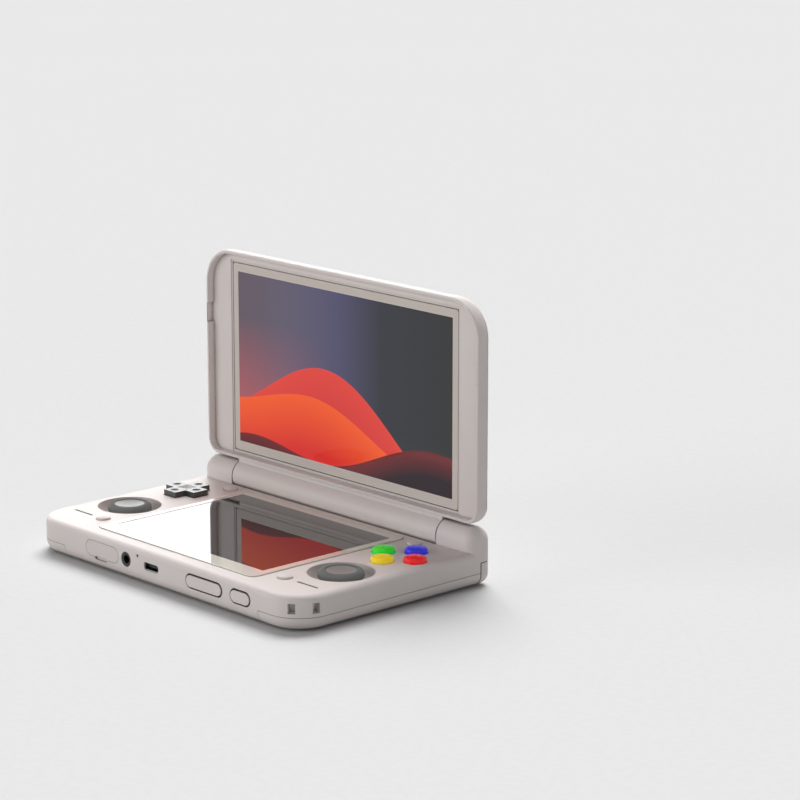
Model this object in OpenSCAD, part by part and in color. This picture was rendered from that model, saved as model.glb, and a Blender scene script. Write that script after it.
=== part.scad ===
// Clamshell handheld game console, open with its lid upright.
// Millimetres. X to the right, Y to the back, Z up. The origin is under the middle of the part,
// on the surface it stands on.

/* [Base] */
// Width of the base and of the lid
base_w = 168.6; // [160:0.2:185]
// Depth of the base, from its front face to its rear face
base_d = 104.5; // [104:0.5:114]
// Thickness of the base without its feet
base_h = 14.2; // [14:0.1:16.5]
// Radius of the two front corners, seen from above
front_corner_r = 15; // [10:0.5:18]
// Radius of the two rear corners, seen from above
rear_corner_r = 5; // [4.8:0.1:6]
// Radius round the top edge
top_edge_r = 2.5; // [1:0.1:3]
// Radius round the bottom edge
bottom_edge_r = 4.5; // [3:0.1:4.7]
// Wall thickness of the base's shells
wall = 1.8; // [1.4:0.1:2.2]
// Depth of the seam between the two shells under the top face
seam_depth = 8.8; // [8.7:0.1:9.6]
// Width of the dark shut line between two shells
shut_line = 0.15; // [0.1:0.05:0.3]
// Half the width of the front skirt, where the seam drops to the bottom edge
skirt_half_w = 61.6; // [59:0.1:64]
// Height of each rubber foot under the base
foot_h = 0.7; // [0.5:0.1:1.2]
// Radius of each rubber foot
foot_r = 5; // [3:0.1:7]

/* [Hinge] */
// Radius of the hinge barrel and of the knuckles beside it
hinge_r = 6.3; // [6:0.1:6.6]
// Height of the hinge axis over the top face
hinge_rise = 3.6; // [3.4:0.1:3.9]
// Width of each knuckle
knuckle_w = 20; // [18:0.1:21]
// Radius round the outer end of each knuckle
knuckle_end_r = 5; // [3:0.1:5.2]
// Running gap round the barrel
barrel_gap = 0.6; // [0.4:0.05:0.7]
// Running gap at each end of the barrel
barrel_end_gap = 0.5; // [0.3:0.05:0.8]
// Radius of each hinge pin
hinge_pin_r = 2; // [1.5:0.1:2.4]
// Radial clearance of a turning pin in its bore
pin_clearance = 0.05; // [0.03:0.01:0.1]

/* [Lid] */
// Gap between the closed lid's rim and the top face
close_gap = 0.8; // [0.6:0.05:1]
// Gap between the lid's bottom edge and the knuckles
lid_gap = 0.9; // [0.6:0.05:1]
// Radius of the lid's two top corners
lid_top_corner_r = 15.5; // [10:0.5:18]
// Radius of the lid's two bottom corners
lid_bottom_corner_r = 6.5; // [6.1:0.1:8]
// Radius round the back edge of the lid
lid_back_edge_r = 6; // [4:0.1:6]
// Width of the rim that stands round the screen
rim_w = 1.5; // [1.2:0.1:2]
// Depth of the screen panel behind the rim
rim_depth = 3.1; // [3:0.05:3.4]
// Wall thickness of the lid's shells
lid_wall = 1.6; // [1.2:0.1:1.8]
// Thickness of the panel that holds the glass
lid_panel = 1.2; // [1.1:0.05:1.4]
// Thickness of the lid's back cover at its seam
lid_seam = 3.4; // [3:0.1:3.8]

/* [Screens] */
// Width of the upper picture
upper_w = 132.8; // [120:0.2:136]
// Height of the upper picture
upper_h = 74.7; // [68:0.1:76]
// Margin of the upper glass at the left and right of the picture
upper_side_margin = 3.2; // [2.8:0.1:4]
// Margin of the upper glass over the picture
upper_top_margin = 3.5; // [3:0.1:4]
// Margin of the upper glass under the picture
upper_bottom_margin = 4.1; // [3.6:0.1:4.3]
// Height of the upper picture's middle over the hinge axis
upper_mid = 51.75; // [50.5:0.05:52.5]
// Width of the lower picture
lower_w = 92; // [84:0.2:93]
// Height of the lower picture
lower_h = 67.7; // [62:0.1:69]
// Margin of the lower glass at the left and right of the picture
lower_side_margin = 3.6; // [3:0.1:4]
// Margin of the lower glass in front of the picture
lower_front_margin = 8.3; // [7:0.1:8.8]
// Margin of the lower glass behind the picture
lower_rear_margin = 5.1; // [4.5:0.1:5.5]
// Distance of the lower picture's middle from the front face
lower_mid = 49.85; // [49:0.05:50.5]
// Thickness of each cover glass
glass_t = 0.75; // [0.6:0.05:0.9]
// Height of the lower glass over the top face
lower_glass_proud = 0.45; // [0.2:0.05:0.55]
// Groove round each glass
glass_gap = 0.35; // [0.2:0.05:0.5]
// Thickness of each display module
display_t = 2.1; // [1.6:0.1:2.3]

/* [Controls] */
// Distance of the stick, cross and face buttons from the middle
control_x = 67; // [66.6:0.1:67.8]
// Distance of the sticks from the front face
stick_y = 38.2; // [37.6:0.1:39.4]
// Diameter of each stick's cap
stick_cap_d = 18.2; // [17:0.1:18.4]
// Diameter of each stick's well at the top face
stick_well_d = 27; // [26.8:0.1:28]
// Distance of the cross and the face buttons from the front face
cluster_y = 69.2; // [68.4:0.1:70]
// Span of the cross
cross_span = 18.8; // [18:0.1:20]
// Width of each arm of the cross
cross_arm = 7.7; // [6.5:0.1:8]
// Diameter of each face button
face_button_d = 9.3; // [8:0.1:9.6]
// Distance of each face button from the middle of the four
face_button_ring = 9.2; // [8.8:0.1:10]
// Height of the face buttons over the top face
face_button_proud = 2.4; // [2:0.1:3]
// Travel of each face button
face_button_travel = 0.9; // [0.5:0.05:1]
// Diameter of each small button
small_button_d = 5.9; // [5:0.1:6.2]
// Distance of each small button from the middle
small_button_x = 57.8; // [57.4:0.1:58.4]
// Distance of the front small buttons from the front face
front_button_y = 17.25; // [16.5:0.05:18]
// Distance of the rear small buttons from the front face
rear_button_y = 85.8; // [85:0.1:86]
// Travel of each small button
small_button_travel = 0.4; // [0.3:0.05:0.5]
// Radial gap between a button and its hole
button_gap = 0.2; // [0.12:0.02:0.3]

/* [Front face] */
// Height of the front controls' centre line under the top face
front_line = 6.1; // [5.8:0.1:6.5]
// Middle of the memory card cover, from the middle of the console
card_x = -36.3; // [-37:0.1:-35.5]
// Width of the card cover's opening
card_w = 21.8; // [20:0.1:22.5]
// Height of the card cover's opening
card_h = 6.8; // [6:0.1:7]
// Middle of the headphone jack
jack_x = -20.5; // [-21:0.1:-19.5]
// Radius of the headphone jack's bore
jack_bore_r = 1.8; // [1.75:0.01:1.9]
// Middle of the charging port
port_x = -4.2; // [-6:0.1:-2]
// Middle of the volume rocker
volume_x = 29; // [28:0.1:30]
// Width of the volume rocker's opening
volume_w = 22.8; // [18:0.1:24]
// Middle of the power button
power_x = 51.15; // [50.5:0.05:52]
// Width of the power button's opening
power_w = 12.5; // [10:0.1:13]
// Height of the rocker's and the power button's openings
side_button_h = 6.2; // [5.6:0.1:6.4]
// Dark gap round the rocker and the power button
side_button_gap = 0.7; // [0.5:0.05:0.8]
// Height that the rocker and the power button stand out of the front face
side_button_proud = 0.3; // [0.1:0.05:0.6]

/* [Rear face] */
// Inner end of each shoulder button, from the middle
bumper_x = 69.2; // [68.8:0.1:70]
// Length of each shoulder button along the side
bumper_side = 6.5; // [5.5:0.1:6.8]
// Depth of each shoulder button's top line under the top face
bumper_top = 4.8; // [4.6:0.1:5.5]
// Middle of each trigger, from the middle of the console
trigger_x = 62; // [61.5:0.1:62.2]
// Width of each trigger
trigger_w = 10; // [8:0.1:10.6]
// Height that each trigger stands out of the rear face
trigger_proud = 3; // [2:0.1:4]
// Number of rear vent slots
vent_count = 22; // [12:2:22]
// Distance from one vent slot to the next
vent_pitch = 3.9; // [3.6:0.05:4]
// Width of each vent slot
vent_w = 2.1; // [1.6:0.1:2.4]
// Lean of each vent slot
vent_lean = 18; // [0:1:25]

/* [Hidden] */
$fn = 72;
bite = 0.2;                         // how far a cut runs past a face
half_w = base_w / 2;
front_y = -(base_d + trigger_proud - side_button_proud) / 2;
rear_y = front_y + base_d;
plate_z = foot_h + base_h;          // the top face
hinge_y = rear_y - hinge_r;
hinge_z = plate_z + hinge_rise;
knuckle_x = half_w - knuckle_w;     // inner end of each knuckle
barrel_x = knuckle_x - barrel_end_gap;
trough_r = hinge_r + barrel_gap;
rear_lip_depth = 2;                 // top of the rear wall between the knuckles, under the top face
floor_z = foot_h + wall;            // inside floor of the base
ceiling_z = plate_z - wall;         // underside of the top face

lid_t = hinge_r + hinge_rise - close_gap;
lid_bottom = hinge_r + lid_gap;     // over the hinge axis
lid_top = hinge_y - front_y;        // the closed lid ends over the front face
panel_t = lid_t - rim_depth;        // panel's front, counted from the lid's back
step_t = 0.25;                      // shallow step round the upper glass
upper_glass_t0 = panel_t - step_t - glass_t;
display_gap = 0.1;                  // air gap behind a cover glass
display_border = 1.4;               // display module past its picture

pivot_depth = 7.6;                  // stick pivot under the top face
well_floor_depth = 6.8;

// ---------- shared shapes ----------
// Distance v from the front face, as a Y coordinate
function fy(v) = front_y + v;

// What lies outside a quarter circle in its own corner
module corner_waste(r) {
  difference() {
    square(r + bite);
    circle(r);
  }
}

// Flat outline, centred in X, its front edge at Y = 0
module plan(w, d, front_r, back_r) {
  difference() {
    translate([-w / 2, 0]) square([w, d]);
    for (s = [0, 1]) mirror([s, 0]) {
      translate([w / 2 - back_r, d - back_r]) corner_waste(back_r);
      translate([w / 2 - front_r, front_r]) rotate(-90) corner_waste(front_r);
    }
  }
}

// Section of a rounded border: width e, height h, the outer edge at X = e
module border_section(e, h, top_r, bottom_r) {
  difference() {
    square([e, h]);
    if (top_r > 0) translate([e - top_r, h - top_r]) corner_waste(top_r);
    if (bottom_r > 0) translate([e - bottom_r, bottom_r]) rotate(-90) corner_waste(bottom_r);
  }
}

// Slab with rounded corners and rounded top and bottom edges, centred in X, front edge at Y = 0
module slab(w, d, h, front_r, back_r, top_r, bottom_r) {
  e = max(top_r, bottom_r);
  translate([0, e, 0]) linear_extrude(h) plan(w - 2 * e, d - 2 * e, front_r - e, back_r - e);
  for (s = [0, 1]) mirror([s, 0, 0]) {
    translate([w / 2 - e, d - back_r, 0]) rotate([90, 0, 0])
      linear_extrude(d - front_r - back_r) border_section(e, h, top_r, bottom_r);
    translate([w / 2 - back_r, d - back_r, 0]) rotate_extrude(angle = 90)
      translate([back_r - e, 0]) border_section(e, h, top_r, bottom_r);
    translate([w / 2 - front_r, front_r, 0]) rotate([0, 0, -90]) rotate_extrude(angle = 90)
      translate([front_r - e, 0]) border_section(e, h, top_r, bottom_r);
  }
  translate([-(w / 2 - back_r), d - e, 0]) rotate([0, 0, 90]) rotate([90, 0, 0])
    linear_extrude(w - 2 * back_r) border_section(e, h, top_r, bottom_r);
  translate([w / 2 - front_r, e, 0]) rotate([0, 0, -90]) rotate([90, 0, 0])
    linear_extrude(w - 2 * front_r) border_section(e, h, top_r, bottom_r);
}

// Box from its two opposite corners
module span(low, high) {
  translate(low) cube(high - low);
}

module stadium(l, h) {
  square([l - h, h], center = true);
  for (s = [-1, 1]) translate([s * (l - h) / 2, 0]) circle(h / 2);
}

// Stadium plug in the front wall, from depth v0 to v1 behind the front face
module front_stadium(x, l, h, v0, v1) {
  translate([x, fy(v1), plate_z - front_line]) rotate([90, 0, 0]) linear_extrude(v1 - v0) stadium(l, h);
}

// Cylinder along X from x0 to x1 round the hinge axis
module axis_cylinder(r, x0, x1) {
  translate([x0, hinge_y, hinge_z]) rotate([0, 90, 0]) cylinder(r = r, h = x1 - x0);
}

module at_hinge() {
  translate([0, hinge_y, hinge_z]) children();
}

module both_sides() {
  for (s = [0, 1]) mirror([s, 0, 0]) children();
}

// ---------- base shells ----------
module base_outer() {
  translate([0, front_y, foot_h])
    slab(base_w, base_d, base_h, front_corner_r, rear_corner_r, top_edge_r, bottom_edge_r);
}

module base_cavity() {
  translate([0, front_y + wall, floor_z])
    slab(base_w - 2 * wall, base_d - 2 * wall, base_h - 2 * wall,
      front_corner_r - wall, rear_corner_r - wall, max(top_edge_r - wall, 0.6), bottom_edge_r - wall);
}

skirt_depth = base_h - 1.5;
// The part of the base above the seam; grow lowers the seam
module upper_zone(grow) {
  span([-half_w - 1, front_y - 1, plate_z - seam_depth - grow],
    [half_w + 1, rear_y + 1, hinge_z + hinge_r + 1]);
  span([-skirt_half_w - grow, front_y - 1, plate_z - skirt_depth - grow],
    [skirt_half_w + grow, front_y + wall + 1.2, plate_z]);
}

bumper_y = rear_y - bumper_side;
bumper_gap = 0.3;
bumper_front_gap = 0.55;            // room for the shoulder button's swing
// Region of one shoulder button on the right; grow widens it by its gaps
module bumper_zone(grow) {
  span([bumper_x - grow * bumper_gap, bumper_y - grow * bumper_front_gap, -1],
    [half_w + 1, rear_y + 1, plate_z - bumper_top + grow * bumper_gap]);
}

trigger_top = 4.3;                  // top of each trigger, under the top face
trigger_bottom = base_h - 1.5;
trigger_gap = 0.3;
trigger_depth = 3;                  // part of the trigger inside the rear face
module trigger_window() {
  span([trigger_x - trigger_w / 2 - trigger_gap, rear_y - trigger_depth - 1,
    plate_z - trigger_bottom - trigger_gap],
    [trigger_x + trigger_w / 2 + trigger_gap, rear_y + 1, plate_z - trigger_top + trigger_gap]);
}

trough_wall = 1.5;
// One knuckle on the right, with the block that carries it
module knuckle() {
  translate([knuckle_x, hinge_y, hinge_z]) rotate([0, 90, 0]) rotate_extrude()
    border_section(hinge_r, knuckle_w, knuckle_end_r, 0);
  translate([knuckle_x, hinge_y - hinge_r, plate_z - 3]) linear_extrude(3 + hinge_rise) difference() {
    square([knuckle_w, 2 * hinge_r]);
    translate([knuckle_w - knuckle_end_r, 2 * hinge_r - knuckle_end_r]) corner_waste(knuckle_end_r);
    translate([knuckle_w - knuckle_end_r, knuckle_end_r]) rotate(-90) corner_waste(knuckle_end_r);
  }
}

// The hollow in a knuckle that holds the hinge unit
knuckle_bore_r = 4.4;
knuckle_bore_l = knuckle_w - 5.5;
module knuckle_bore() {
  axis_cylinder(knuckle_bore_r, knuckle_x - bite, knuckle_x + knuckle_bore_l);
}

// Stick wells: the section is an arc round a point beside the stick's axis
well_arc_x = 5.2;
well_arc_z = 0.6;
well_arc_r = norm([stick_well_d / 2 - well_arc_x, well_arc_z]);
well_wall = 1.4;
well_floor_t = 0.9;
well_hole_r = 7.5;                  // hole in the well's floor round the stick's dome
module at_stick() {
  translate([control_x, fy(stick_y), plate_z]) children();
}

module well_bowl() {
  rotate_extrude() intersection() {
    translate([well_arc_x, well_arc_z]) circle(well_arc_r + well_wall);
    translate([well_arc_x, -well_floor_depth]) square([20, well_floor_depth - wall / 2]);
  }
}

module well_cut() {
  depth = well_floor_depth - well_floor_t;
  rotate_extrude() {
    intersection() {
      union() {
        translate([well_arc_x, well_arc_z]) circle(well_arc_r);
        translate([0, -depth]) square([well_arc_x, depth + bite]);
      }
      translate([0, -depth]) square([20, depth + bite]);
    }
    translate([0, -well_floor_depth - 1]) square([well_hole_r, well_floor_depth]);
  }
}

// Lanyard loop in a front corner: a block with a tunnel between two windows
lanyard_angles = [-54, -16.5];
lanyard_w = 2.9;
lanyard_h = 4.1;
lanyard_depth = 5.2;                // middle of the windows, under the top face
module at_corner() {
  translate([half_w - front_corner_r, front_y + front_corner_r, plate_z - lanyard_depth]) children();
}

module lanyard_block() {
  at_corner() rotate([0, 0, -66]) rotate_extrude(angle = 60)
    translate([front_corner_r - wall - 3.6, -lanyard_h / 2 - 1.3]) square([4.1, lanyard_h + 2.6]);
}

module lanyard_cut() {
  at_corner() {
    rotate([0, 0, lanyard_angles[0]]) rotate_extrude(angle = lanyard_angles[1] - lanyard_angles[0])
      translate([front_corner_r - wall - 2.2, -lanyard_h / 2]) square([2.2, lanyard_h]);
    for (a = lanyard_angles) rotate([0, 0, a])
      translate([front_corner_r - wall - 2.2, -lanyard_w / 2, -lanyard_h / 2])
        cube([wall + 3, lanyard_w, lanyard_h]);
  }
}

// Screw places: distance from the middle and from the front face
screw_places = [[56, 8.5], [half_w - 4.3, 57], [52.6, base_d - 14.3]];
screw_r = 0.8;
screw_head_r = 1.5;
screw_head_h = 1;
screw_head_sink = 1.3;
boss_r = 2.2;
module at_screws() {
  for (p = screw_places) both_sides() translate([p[0], fy(p[1]), 0]) children();
}

// Button places, on the right: distance from the middle and from the front face
small_places = [front_button_y, rear_button_y];
module at_small(v) {
  translate([small_button_x, fy(v), plate_z]) children();
}

module at_cluster() {
  translate([control_x, fy(cluster_y), plate_z]) children();
}

module face_button_holes() {
  for (a = [0 : 90 : 270]) at_cluster() rotate([0, 0, a])
    translate([face_button_ring, 0, -5]) cylinder(r = face_button_d / 2 + button_gap, h = 10);
}

module cross_outline(grow) {
  for (a = [0, 90]) rotate(a) square([cross_span + 2 * grow, cross_arm + 2 * grow], center = true);
}

cross_gap = 0.4;
module cross_hole() {
  at_cluster() translate([0, 0, -5]) linear_extrude(10) cross_outline(cross_gap);
}

slot_x = 71.15;
slot_l = 12.1;
slot_w = 1.2;
module speaker_slot() {
  translate([slot_x, fy(front_button_y), plate_z - 5]) linear_extrude(10) stadium(slot_l, slot_w);
}

// Lower glass and display, as boxes in the base
lower_glass_w = lower_w + 2 * lower_side_margin;
lower_glass_front = lower_mid - lower_h / 2 - lower_front_margin;
lower_glass_d = lower_front_margin + lower_h + lower_rear_margin;
lower_glass_corner = 3;
lower_glass_z = plate_z + lower_glass_proud - glass_t;
module lower_glass_outline(grow) {
  translate([0, fy(lower_glass_front) - grow]) plan(lower_glass_w + 2 * grow, lower_glass_d + 2 * grow,
    lower_glass_corner + grow, lower_glass_corner + grow);
}

module lower_window(grow, z0, z1) {
  w = lower_w / 2 + display_border + grow;
  h = lower_h / 2 + display_border + grow;
  span([-w, fy(lower_mid) - h, z0], [w, fy(lower_mid) + h, z1]);
}

// Notch for a fingernail, across the lower edge of the card cover
nail_x = -0.9;                      // from the middle of the cover
nail_depth = 0.9;
module nail_notch() {
  translate([card_x + nail_x, fy(nail_depth), plate_z - front_line - card_h / 2 - 0.2]) rotate([90, 0, 0])
    linear_extrude(2) stadium(8, 1.4);
}

// Openings through the front wall
jack_hole_r = 3.1;
port_hole = [9.4, 3.5];
mic_x = -12.9;
mic_z = 3;
mic_r = 0.6;
module front_openings() {
  front_stadium(card_x, card_w, card_h, -1, wall + 1);
  front_stadium(port_x, port_hole[0], port_hole[1], -1, wall + 1);
  front_stadium(volume_x, volume_w, side_button_h, -1, wall + 1);
  front_stadium(power_x, power_w, side_button_h, -1, wall + 1);
  translate([jack_x, fy(wall + 1), plate_z - front_line]) rotate([90, 0, 0])
    cylinder(r = jack_hole_r, h = wall + 2);
  translate([mic_x, fy(wall + 1), plate_z - mic_z]) rotate([90, 0, 0]) cylinder(r = mic_r, h = wall + 2);
}

// Bearing of the volume rocker, hung from the top face
rocker_pin_r = 0.8;
rocker_pin_v = 4.9;                 // pin behind the front face
rocker_lug_h = 2.2;
module rocker_lug() {
  span([volume_x - 1.8, fy(rocker_pin_v - 1.5), ceiling_z - rocker_lug_h],
    [volume_x + 1.8, fy(rocker_pin_v + 1.8), ceiling_z + 0.5]);
}

// Pivot pin of a shoulder button and ears of a trigger, on the right
bumper_pin_r = 1;
bumper_pin_x = bumper_x + 2.6;
bumper_pin_y = rear_y - wall - 2.6;
trigger_pin_r = 0.8;
trigger_pin_z = plate_z - trigger_top - 1.4;
trigger_pin_y = rear_y - wall - 0.3;
ear_w = 1.2;
ear_gap = 0.15;
module trigger_ears() {
  for (s = [-1, 1]) {
    x = trigger_x + s * (trigger_w / 2 + trigger_gap + ear_gap + ear_w / 2);
    span([x - ear_w / 2, trigger_pin_y - 1.8, trigger_pin_z - 1.8],
      [x + ear_w / 2, rear_y - wall / 2, plate_z - 2.5]);
  }
}

module trigger_ear_bores() {
  reach = trigger_w / 2 + trigger_gap + ear_gap + ear_w - 0.3;
  translate([trigger_x - reach, trigger_pin_y, trigger_pin_z]) rotate([0, 90, 0])
    cylinder(r = trigger_pin_r + pin_clearance, h = 2 * reach);
}

shell_colour = [0.88, 0.85, 0.83];
module base_top_shell() color(shell_colour) {
  difference() {
    union() {
      intersection() {
        difference() {
          base_outer();
          base_cavity();
        }
        upper_zone(0);
      }
      intersection() {
        axis_cylinder(trough_r + trough_wall, -knuckle_x - trough_wall, knuckle_x + trough_wall);
        span([-half_w, hinge_y - 20, floor_z], [half_w, rear_y - wall / 2, plate_z - 0.5]);
      }
      both_sides() {
        knuckle();
        at_stick() well_bowl();
        trigger_ears();
        lanyard_block();
      }
      at_screws() translate([0, 0, plate_z - seam_depth]) cylinder(r = boss_r, h = seam_depth - wall / 2);
      rocker_lug();
    }
    axis_cylinder(trough_r, -knuckle_x, knuckle_x);
    span([-knuckle_x, hinge_y, plate_z - rear_lip_depth], [knuckle_x, rear_y + 1, hinge_z + hinge_r]);
    translate([0, 0, lower_glass_z]) linear_extrude(5) lower_glass_outline(glass_gap);
    lower_window(0.4, plate_z - 5, plate_z + 5);
    both_sides() {
      knuckle_bore();
      at_stick() well_cut();
      speaker_slot();
      lanyard_cut();
      bumper_zone(1);
      trigger_window();
      trigger_ear_bores();
      for (v = small_places) at_small(v) translate([0, 0, -5])
        cylinder(r = small_button_d / 2 + button_gap, h = 10);
    }
    face_button_holes();
    mirror([1, 0, 0]) cross_hole();
    front_openings();
    nail_notch();
    translate([volume_x, fy(rocker_pin_v), ceiling_z - rocker_lug_h - 1])
      cylinder(r = rocker_pin_r + pin_clearance, h = rocker_lug_h + 0.7);
    at_screws() translate([0, 0, plate_z - seam_depth - 1])
      cylinder(r = screw_r + pin_clearance, h = seam_depth - 3.5);
  }
  both_sides() translate([bumper_pin_x, bumper_pin_y, plate_z - 12.2]) cylinder(r = bumper_pin_r, h = 9.4);
}

// ---------- boards' heights, counted down from the top face ----------
main_board_top = 9.2;
board_t = 1;
side_board_top = 7.6;
main_pillars = [[-42, 6], [-10, 26], [30, 26], [48, 6], [8, base_d - 22.5], [8, 50]];
side_pillars = [[53.5, 15], [53.5, 62], [half_w - 6.3, base_d - 20.5], [half_w - 5.3, 28]];

fan_x = 29;
fan_v = base_d - 35.5;
fan_w = 34;
fan_open_r = 12;
module intake_slots() {
  for (i = [-3 : 3]) {
    l = 2 * sqrt(fan_open_r * fan_open_r - pow(i * 3.2, 2));
    translate([fan_x + i * 3.2, fy(fan_v), -1]) rotate([0, 0, 90])
      linear_extrude(floor_z + 2) stadium(l, 1.5);
  }
}

vent_depth = 11.6;                  // middle of the vent slots, under the top face
vent_l = 3.8;
module rear_vents() {
  for (i = [0 : vent_count - 1])
    translate([(i - (vent_count - 1) / 2) * vent_pitch, rear_y + 1, plate_z - vent_depth])
      rotate([90, 0, 0]) rotate([0, 0, 90 + vent_lean])
        linear_extrude(bottom_edge_r + 2) stadium(vent_l, vent_w);
}

foot_places = [[half_w - 16.3, 14], [half_w - 18.3, base_d - 12.5]];
foot_sink = 0.6;
module at_feet() {
  for (p = foot_places) both_sides() translate([p[0], fy(p[1]), 0]) children();
}

module base_bottom_shell() color(shell_colour) {
  difference() {
    union() {
      difference() {
        base_outer();
        base_cavity();
        upper_zone(shut_line);
      }
      at_screws() translate([0, 0, foot_h + wall / 2])
        cylinder(r = boss_r, h = base_h - seam_depth - shut_line - wall / 2);
      for (p = main_pillars) translate([p[0], fy(p[1]), foot_h + wall / 2])
        cylinder(r = 1.8, h = base_h - main_board_top - board_t - wall / 2);
      for (p = side_pillars) both_sides() translate([p[0], fy(p[1]), foot_h + wall / 2])
        cylinder(r = 1.8, h = base_h - side_board_top - board_t - wall / 2);
    }
    both_sides() {
      bumper_zone(1);
      trigger_window();
    }
    rear_vents();
    intake_slots();
    at_feet() cylinder(r = foot_r + 0.1, h = foot_h + foot_sink);
    at_screws() {
      cylinder(r = screw_head_r + 0.15, h = foot_h + screw_head_sink);
      cylinder(r = screw_r + pin_clearance, h = base_h);
    }
  }
}

module rubber_feet() color([0.25, 0.25, 0.25]) {
  at_feet() rotate_extrude() border_section(foot_r, foot_h + foot_sink, 0, 0.5);
}

module base_screws() color([0.6, 0.6, 0.62]) {
  at_screws() difference() {
    union() {
      translate([0, 0, foot_h + screw_head_sink - screw_head_h]) cylinder(r = screw_head_r, h = screw_head_h);
      translate([0, 0, foot_h + screw_head_sink - 0.1]) cylinder(r = screw_r, h = 7.5);
    }
    translate([0, 0, foot_h + screw_head_sink - screw_head_h - bite])
      for (a = [0, 90]) rotate([0, 0, a]) translate([-0.9, -0.2, 0]) cube([1.8, 0.4, 0.7]);
  }
}

// ---------- lower screen ----------
module lower_glass() color([0.15, 0.15, 0.16]) {
  translate([0, fy(lower_glass_front), lower_glass_z]) slab(lower_glass_w, lower_glass_d, glass_t,
    lower_glass_corner, lower_glass_corner, 0.25, 0);
}

module lower_display() color([0.1, 0.1, 0.11]) {
  difference() {
    lower_window(0, lower_glass_z - display_gap - display_t, lower_glass_z - display_gap);
    span([-12, fy(lower_mid) - lower_h / 2 - 3, lower_glass_z - 5],
      [12, fy(lower_mid) - lower_h / 2 - 0.4, lower_glass_z - 1.6]);
  }
}

// ---------- inside the base ----------
main_rear_v = base_d - 17.5;
module mainboard() color([0.1, 0.35, 0.2]) {
  difference() {
    translate([0, front_y, plate_z - main_board_top - board_t]) linear_extrude(board_t)
      polygon([[-46, 3.8], [53.4, 3.8], [53.4, 29], [48, 31], [48, main_rear_v],
        [4, main_rear_v], [4, 31], [-44, 29], [-46, 27]]);
    translate([fan_x, fy(fan_v), 0]) cylinder(r = fan_open_r + 1, h = plate_z);
    for (p = main_pillars) translate([p[0], fy(p[1]), 0]) cylinder(r = 0.8, h = plate_z);
  }
  translate([0, front_y, plate_z - main_board_top]) {
    span([8, 34, 0], [26, 48, 1.6]);
    for (i = [0 : 3]) span([29 + 4.6 * i, 35, 0], [32.6 + 4.6 * i, 45, 1.1]);
    span([-24, 17, 0], [-12, 26, 1.2]);
    span([0, 14, 0], [12, 24, 1.4]);
    for (i = [0 : 5]) span([16 + 3 * i, 16, 0], [17.8 + 3 * i, 19, 0.9]);
    span([-42, 20, 0], [-30, 24, 2]);
  }
}

tab_v = base_d - 4.9;               // the tab that carries the shoulder button's switch ends here
tab_x = half_w - 6.1;               // middle of that tab
side_edge_x = half_w - wall - 1.3;
side_rear_v = base_d - 17.1;
module side_board(stick_hole) {
  difference() {
    translate([0, front_y, plate_z - side_board_top - board_t]) linear_extrude(board_t)
      polygon([[50.4, 12], [64.5, 12], [64.5, 24], [side_edge_x, 24], [side_edge_x, side_rear_v],
        [tab_x + 2.2, side_rear_v], [tab_x + 2.2, tab_v], [tab_x - 2.2, tab_v],
        [tab_x - 2.2, side_rear_v], [50.4, side_rear_v]]);
    at_stick() translate([0, 0, -base_h]) cylinder(r = stick_hole, h = base_h);
    at_screws() cylinder(r = boss_r + 0.3, h = plate_z);
  }
}

module right_control_board() color([0.1, 0.35, 0.2]) side_board(9.3);
module left_control_board() color([0.1, 0.35, 0.2]) mirror([1, 0, 0]) side_board(9.3);

module battery() color([0.75, 0.76, 0.78]) {
  translate([-22, fy(33), floor_z + 0.1]) slab(48, base_d - 53.5, 6.6, 2, 2, 1.2, 1.2);
  span([-8, fy(32.2), floor_z + 2.5], [2, fy(33.1), floor_z + 5]);
}

fan_h = 5;
fan_z = plate_z - main_board_top;
fan_axle_r = 1;
module fan_housing() color([0.16, 0.16, 0.17]) {
  translate([fan_x, fy(fan_v), fan_z]) {
    difference() {
      translate([0, -fan_w / 2, 0]) slab(fan_w, fan_w, fan_h, 2, 2, 0.5, 0.5);
      translate([0, 0, 0.8]) cylinder(r = fan_w / 2 - 1.2, h = fan_h - 1.6);
      span([-fan_w / 2 + 1.2, 0, 0.8], [fan_w / 2 - 6, fan_w, fan_h - 0.8]);
      translate([0, 0, fan_h - 1]) cylinder(r = fan_open_r, h = 2);
      difference() {
        translate([0, 0, -1]) cylinder(r = fan_open_r - 0.5, h = 2);
        translate([0, 0, -2]) cylinder(r = 5, h = 4);
        for (a = [0 : 120 : 240]) rotate([0, 0, a]) span([0, -1, -2], [fan_w, 1, 2]);
      }
      translate([0, 0, 0.4]) cylinder(r = fan_axle_r + pin_clearance, h = 3);
    }
    difference() {
      translate([0, 0, 0.4]) cylinder(r = 2.2, h = 1.6);
      cylinder(r = fan_axle_r + pin_clearance, h = 3);
    }
  }
}

blade_count = 13;
module fan_rotor() color([0.22, 0.22, 0.24]) {
  translate([fan_x, fy(fan_v), fan_z]) {
    difference() {
      translate([0, 0, 1]) cylinder(r = 6, h = fan_h - 1.4);
      translate([0, 0, 0]) cylinder(r = 4.6, h = 2.4);
    }
    translate([0, 0, 0.5]) cylinder(r = fan_axle_r, h = 3);
    for (i = [0 : blade_count - 1]) rotate([0, 0, i * 360 / blade_count])
      translate([5.6, 0, 1.2]) rotate([0, 0, -28]) cube([9, 0.6, fan_h - 2.4]);
  }
}

fin_count = 16;
module heat_sink() color([0.72, 0.73, 0.75]) {
  translate([fan_x, fy(fan_v + fan_w / 2 + 1), 0]) {
    span([-17, 0, plate_z - 6.2], [17, 12, plate_z - 5.4]);
    for (i = [0 : fin_count - 1]) {
      x = -17 + i * (34 - 0.6) / (fin_count - 1);
      span([x, 0, floor_z + 0.2], [x + 0.6, 12, plate_z - 6.1]);
    }
  }
}

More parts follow.
